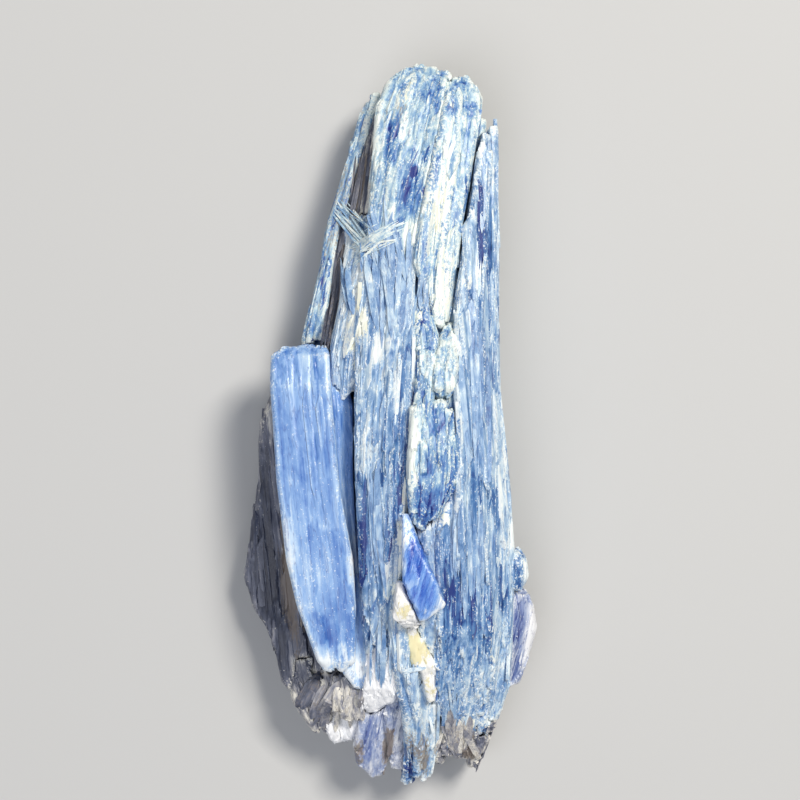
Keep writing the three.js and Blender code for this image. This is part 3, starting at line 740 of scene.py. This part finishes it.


# ---- Stained and shaded blades ----
# Kyanite that was open to weather and mica, dark grey-blue to taupe. Its colour is also darker as painted
# shade, most of all for the blades that lie in shadow behind the front left one and deep in the recess. The
# blades behind the front left one, the broken fan under its foot, the ragged ends on the right, and the laths
# deep in the recess at the upper left. The thin blade at the recess's left edge is clouded by mica.

# Dull slate grey to taupe, partly stain and partly painted shade, with the glint of a few pale splinters.
stained_and_shaded = kyanite(
    "kyanite_weathered_and_painted_shade",
    ("#1f2438", "#3b4256", "#65697a", "#98989f", "#eae5d8"),
    level=0.4,
    patchy=0.8,
    streaky=0.6,
    blotchy=0.5,
    frost=0.42,
    gloss=0.5,
)
crystal(
    "back_left_blades",
    stained_and_shaded,
    "stained_kyanite",
    lean=6,
    spots=(
        ("brown", -15.5, -24, 2.4, 20, 0.9),
        ("deep", -19, -20, 3, 10, 0.2),
        ("white", -13, -38.5, 6, 5, 0.4),
        ("white", -19, 0, 2.6, 9, 0.3),
    ),
    clear=0.08,
    **{"Laths per mm2": 0.2, "Disorder": 2.0},
)
crystal(
    "fan_blades",
    stained_and_shaded,
    "stained_kyanite",
    lean=20,
    spots=(
        ("white", -11.5, -39, 3, 3, 0.6),
        ("white", -6.4, -42.5, 5, 6, 0.6),
        ("white", -12, -44, 4, 5, 0.3),
        ("brown", -9, -38, 6, 3, 0.4),
    ),
    **{"End Loss": 1.0, "Laths per mm2": 0.6, "Lath Size": 0.45, "Disorder": 5.0},
)
crystal(
    "stained_ends",
    stained_and_shaded,
    "stained_kyanite",
    lean=8,
    spots=(
        ("cream", 11.8, -46.6, 3, 4, 0.9),
        ("brown", 12, -50, 4, 3, 0.7),
        ("white", 9, -47, 4, 7, 0.6),
        ("white", 13, -51, 2, 3, 0.5),
    ),
    **{"End Loss": 1.0, "Laths per mm2": 0.8, "Lath Size": 0.45, "Disorder": 4.0},
)
crystal(
    "recess_blades",
    stained_and_shaded,
    "stained_kyanite",
    lean=-10,
    spots=(("brown", -4, 38, 3, 10, 0.7), ("brown", -7.8, 22, 2, 18, 0.6), ("white", -3.8, 40, 4, 16, 0.35)),
    **{"Laths per mm2": 0.5, "Lath Size": 0.5, "Splinters per mm2": 1.0},
)
crystal(
    "left_edge_blade",
    ice,
    "pale_kyanite",
    lean=-12,
    spots=(
        ("cream", -9.9, 13.6, 1.8, 2, 0.8),
        ("deep", -11.4, 15, 2.4, 6, 0.2),
        ("brown", -7.5, 32, 9, 36, 0.35),
    ),
    clear=0.24,
    **{"Laths per mm2": 0.15, "Lath Size": 0.7},
)


# ---- Quartz ----
# Milky quartz that filled the gaps between the laths, as a pointed wedge under the diagonal blade's foot and
# a vein below it with a yellow iron stain. It broke unevenly, so it is grainy and dull.

# Chalky white, creamy yellow where iron stains it.
quartz = kyanite(
    "quartz_milky",
    ("#c3c6c2", "#e9eae3", "#f6f5ec", "#fbf9f0", "#fdfcf8"),
    level=0.8,
    patchy=0.6,
    streaky=0.1,
    blotchy=0.7,
    frost=0.6,
    gloss=0.5,
    crusted="#ece2b4",
)
grainy = {"Lath Width": 1.3, "Lath Length": 2.4, "Step": 0.12, "Laths per mm2": 0.0, "Disorder": 6.0}
crystal("quartz_wedge", quartz, "quartz", lean=0, spots=(("cream", 2, -27, 3, 3, 0.5),), **grainy)
crystal(
    "quartz_vein",
    quartz,
    "quartz",
    lean=4,
    spots=(("cream", 3.8, -33, 4, 6, 0.75), ("cream", 6.2, -39, 2, 6, 0.4)),
    **grainy,
)


# ---- Mica ----
# White mica in thin sheets that split off in flakes. It grew in a patch below the groove, and as clear plates
# at the left of the broad end that stand out like fish scales.

# Bright silvery white with a soft shine.
mica = kyanite(
    "mica_white",
    ("#c4ced8", "#eaf0f3", "#f8fafa", "#fdfdfd", "#ffffff"),
    level=0.9,
    patchy=0.6,
    streaky=0.1,
    blotchy=0.6,
    frost=0.6,
    gloss=0.36,
)
flaky = {"Lath Width": 1.6, "Lath Length": 2.4, "Step": 0.12}
flaky.update({"Laths per mm2": 1.5, "Lath Size": 0.22, "Disorder": 5.0})
crystal("mica_patch", mica, "mica", lean=0, **flaky)
crystal("mica_plates", mica, "mica", lean=20, **flaky)


# ---- Back ----
# The kyanite blades on the cluster's back. The middle one has a clean cleavage face, on which everything
# rests, and the two beside it lean away from the table.

crystal(
    "rest_blade",
    mottled,
    "blue_kyanite",
    lean=0,
    clear=0.1,
    **{"Step": 0.12, "Swell": -0.2, "Laths per mm2": 0.0, "Splinters per mm2": 0.0},
)
crystal("under_right_blade", mottled, "blue_kyanite", lean=2, clear=0.1, **{"Laths per mm2": 0.1})
crystal("under_left_blade", mottled, "blue_kyanite", lean=-4, clear=0.1, **{"Laths per mm2": 0.1})


# ---- Crossing fibres and loose laths ----
# Splinters of kyanite that came loose when the cluster was broken out of its rock. Fine white fibres cross
# the recess and bridge the notch beside the top blade, and loose laths lie over the broken ends.

def strand_tree():
    """Geometry nodes that draw a flat lath along each line of a mesh, as wide as the line's points say."""
    tree = bpy.data.node_groups.new("strands", "GeometryNodeTree")
    for name, kind in (("Lines", "Geometry"), ("Flatness", "Float"), ("Material", "Material")):
        tree.interface.new_socket(name, in_out="INPUT", socket_type="NodeSocket" + kind)
    tree.interface.new_socket("Laths", in_out="OUTPUT", socket_type="NodeSocketGeometry")
    given = tree.nodes.new("NodeGroupInput").outputs
    line = add(tree, "GeometryNodeMeshToCurve", {}, given["Lines"])
    line = add(tree, "GeometryNodeSetCurveNormal", {"mode": "Z_UP"}, line)
    outline = add(tree, "GeometryNodeCurvePrimitiveQuadrilateral", {}, 1.0, given["Flatness"])
    width = add(tree, "GeometryNodeInputNamedAttribute", {"data_type": "FLOAT"}, "width")
    lath = add(tree, "GeometryNodeCurveToMesh", {}, line, outline, width, True)
    angle = add(tree, "GeometryNodeInputNamedAttribute", {"data_type": "FLOAT"}, "angle")
    own = add(tree, "GeometryNodeInputNamedAttribute", {"data_type": "FLOAT_VECTOR"}, "own")
    here = add(tree, "GeometryNodeInputPosition", {})
    turned = add(tree, "ShaderNodeVectorRotate", {"rotation_type": "Z_AXIS"}, here, Angle=angle)
    grain = add(tree, "ShaderNodeVectorMath", ADD, turned, own)
    kept = {"data_type": "FLOAT_VECTOR", "domain": "POINT"}
    lath = add(tree, "GeometryNodeStoreNamedAttribute", kept, lath, Name="grain", Value=grain)
    lath = add(tree, "GeometryNodeSetShadeSmooth", {}, lath, Shade_Smooth=False)
    lath = add(tree, "GeometryNodeRealizeInstances", {}, lath)
    lath = add(tree, "GeometryNodeSetMaterial", {}, lath, Material=given["Material"])
    tree.links.new(lath.outputs[0], tree.nodes.new("NodeGroupOutput").inputs[0])
    return tree


strands = strand_tree()


def height_at(x, y):
    """The height of the cluster's front at a place, in millimetres."""
    above = 40  # higher than the cluster
    depsgraph = bpy.context.evaluated_depsgraph_get()
    start = (x * MM, y * MM, above * MM)
    found, place, *_ = bpy.context.scene.ray_cast(depsgraph, start, (0, 0, -1))
    return place.z / MM if found else 0.0


def lay(name, material, flatness, bundles, seed, stain=0.0):
    """Lays bundles of laths over the cluster. A bundle is (start, end, spread, fray, count, width, white). It
    runs from start to end in millimetres, spread wide, its laths' ends stray by fray, and white clouds it."""
    steps = np.linspace(0, 1, 9)  # places along a lath
    lowest = 4  # a lath that would go lower hangs past the cluster's edge, and is left out
    smoothings = 12  # passes that lift a lath off the dips between the places that it touches
    random = np.random.default_rng(seed)
    points, edges, values = [], [], {key: [] for key in ("width", "white", "brown", "tint", "angle", "own")}
    for start, end, spread, fray, count, width, white in bundles:
        for _ in range(count):
            aside = random.normal(0, spread / 2, 2)
            one = np.array(start) + aside + random.normal(0, fray / 2, 2)
            run = np.array(end) + aside + random.normal(0, fray / 2, 2) - one
            run *= random.uniform(0.6, 1.0)
            size = width * random.uniform(0.5, 1.4)
            tint = random.uniform(-1, 1)
            own = random.uniform(-50, 50, 3)
            flat = one + np.outer(steps, run)
            heights = np.array([height_at(*p) for p in flat])
            if heights.min() < lowest:
                continue
            for _ in range(smoothings):
                heights[1:-1] = np.maximum(heights[1:-1], (heights[:-2] + heights[2:]) / 2)
            first = len(points)
            for step, (x, y), z in zip(steps, flat, heights):
                points.append((x, y, z + 0.2 * size * flatness))
                values["width"].append(size * min(1, 0.2 + 4.5 * min(step, 1 - step)))
                values["white"].append(white)
                values["brown"].append(stain)
                values["tint"].append(tint)
                values["angle"].append(math.atan2(*run))
                values["own"].extend(own)
            edges += [(i, i + 1) for i in range(first, len(points) - 1)]

    mesh = bpy.data.meshes.new(name)
    mesh.from_pydata(points, edges, [])
    for key, numbers in values.items():
        kind, field = ("FLOAT_VECTOR", "vector") if key == "own" else ("FLOAT", "value")
        mesh.attributes.new(key, kind, "POINT").data.foreach_set(field, numbers)
    piece = bpy.data.objects.new(name, mesh)
    bpy.context.scene.collection.objects.link(piece)
    grow(piece, strands, name, {"Flatness": flatness, "Material": material})
    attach(piece, "root")


LATHS = (
    ((-6.8, 25), (-5.4, 15), 1.4, 1.2, 5, 0.8, 0.05),  # over the shoulder and the centre
    ((-1.8, 25), (-0.4, 12), 1.6, 1.4, 6, 0.8, 0.0),
    ((2.4, 22), (1.8, 11), 0.8, 0.8, 4, 0.8, 0.08),
    ((-2.8, -6), (-1.6, -26), 1.2, 1.0, 5, 0.8, -0.05),
    ((12.6, 12), (14.0, -10), 2.2, 1.4, 8, 0.8, 0.0),
    ((-2.4, 24), (-3.2, 32), 2.0, 1.6, 12, 0.6, 0.05),  # over the top blade's lower end
    ((1.2, 23), (0.4, 32), 2.0, 1.8, 10, 0.6, 0.0),
    ((4.2, 16.8), (4.6, 22.6), 0.7, 0.4, 8, 0.6, 0.1),
    ((5.3, 17.4), (5.2, 22.2), 0.5, 0.4, 8, 0.5, 0.15),
    ((12, -26), (11.9, -12), 2.4, 0.6, 14, 0.6, 0.0),  # over the right blade's inner laths
    ((9.4, -22), (9.6, -10), 1.4, 0.6, 8, 0.6, 0.05),
    ((-1.2, -38), (-1.0, -28), 1.6, 0.5, 10, 0.5, 0.1),
    ((3.4, -42), (3.6, -35), 1.0, 0.8, 6, 0.5, 0.1),  # beside and across the quartz vein
    ((2.0, -36.6), (6.6, -36.2), 0.3, 0.3, 3, 0.6, 0.25),
    ((9, -49), (9.2, -39), 2.2, 1.0, 10, 0.5, 0.1),
)
lay("loose_laths", mottled, 0.3, LATHS, seed=5)
FIBRES = (
    ((-8.4, 33.4), (-3.0, 27.0), 1.0, 1.4, 34, 0.24, 0.2),  # across the recess
    ((-5.0, 26.2), (2.2, 29.8), 0.9, 1.6, 34, 0.24, 0.35),  # and on towards the top blade
    ((-2.6, 47.2), (-1.0, 49.6), 0.4, 0.4, 5, 0.12, 0.6),  # bridging the notch
)
lay("crossing_fibres", ice, 0.5, FIBRES, seed=3)
FLAKES = (
    ((-13.4, -43), (-9.4, -36.4), 1.6, 1.4, 8, 1.2, 0.0),  # over the fan
    ((-10.6, -45.4), (-8.4, -37.5), 1.4, 1.4, 8, 1.2, 0.2),
    ((-6, -44.6), (-5.8, -38), 2.0, 1.4, 8, 1.2, 0.5),
    ((11.4, -50.4), (11.2, -44), 3.0, 2.4, 18, 0.8, 0.45),  # over the stained ends
    ((-9.2, 12), (-7.6, 27), 1.0, 0.8, 8, 0.5, 0.0),  # in the recess
    ((-5.4, 32), (-3.6, 44), 1.2, 0.8, 8, 0.45, 0.1),
)
# stained laths, their colour darkened as painted shade too
lay("weathered_and_shaded_laths", stained_and_shaded, 0.3, FLAKES, seed=7, stain=0.28)


# ---- Table, light and camera ----
# A pale matt board that reaches past the view on every side. A soft light stands high on the right and a
# larger, weaker one on the left, in a pale room, and the camera hangs straight over the cluster.

HALF = 3.0  # half of the board's side, in metres
mesh = bpy.data.meshes.new("table")
corners = [(-HALF, -HALF, 0), (HALF, -HALF, 0), (HALF, HALF, 0), (-HALF, HALF, 0)]
mesh.from_pydata(corners, [], [(0, 1, 2, 3)])
top = bpy.data.objects.new("table", mesh)
bpy.context.scene.collection.objects.link(top)
# Even pale grey with no shine.
paint = bpy.data.materials.new("board_painted_matt")
paint.use_nodes = True
paint.node_tree.nodes["Principled BSDF"].inputs["Base Color"].default_value = linear("#c9c9c7")
paint.node_tree.nodes["Principled BSDF"].inputs["Roughness"].default_value = 0.9
mesh.materials.append(paint)


def area_light(name, azimuth, height, power, size, colour):
    """A square soft light that looks at the cluster. Its azimuth is counted from +X towards +Y."""
    away = 0.9  # metres
    data = bpy.data.lights.new(name, "AREA")
    data.energy = power
    data.size = size
    data.color = linear(colour)[:3]
    lamp = bpy.data.objects.new(name, data)
    bpy.context.scene.collection.objects.link(lamp)
    a, h = math.radians(azimuth), math.radians(height)
    lamp.location = Vector((math.cos(a) * math.cos(h), math.sin(a) * math.cos(h), math.sin(h))) * away
    lamp.rotation_euler = (-lamp.location).to_track_quat("-Z", "Y").to_euler()


area_light("key_light", azimuth=45, height=54, power=7.4, size=0.25, colour="#fffaf2")
area_light("fill_light", azimuth=230, height=62, power=3.2, size=0.7, colour="#f4f6ff")
world = bpy.data.worlds.new("room")
world.use_nodes = True
world.node_tree.nodes["Background"].inputs["Color"].default_value = linear("#cfd6e2")
world.node_tree.nodes["Background"].inputs["Strength"].default_value = 0.25
bpy.context.scene.world = world

camera = bpy.data.cameras.new("camera")
camera.sensor_width = 36
camera.lens = 89
eye = bpy.data.objects.new("camera", camera)
bpy.context.scene.collection.objects.link(eye)
eye.location = (1.55 * MM, 3.8 * MM, 312 * MM)  # over the cluster's middle, at arm's length
bpy.context.scene.camera = eye
bpy.context.scene.view_settings.view_transform = "Standard"
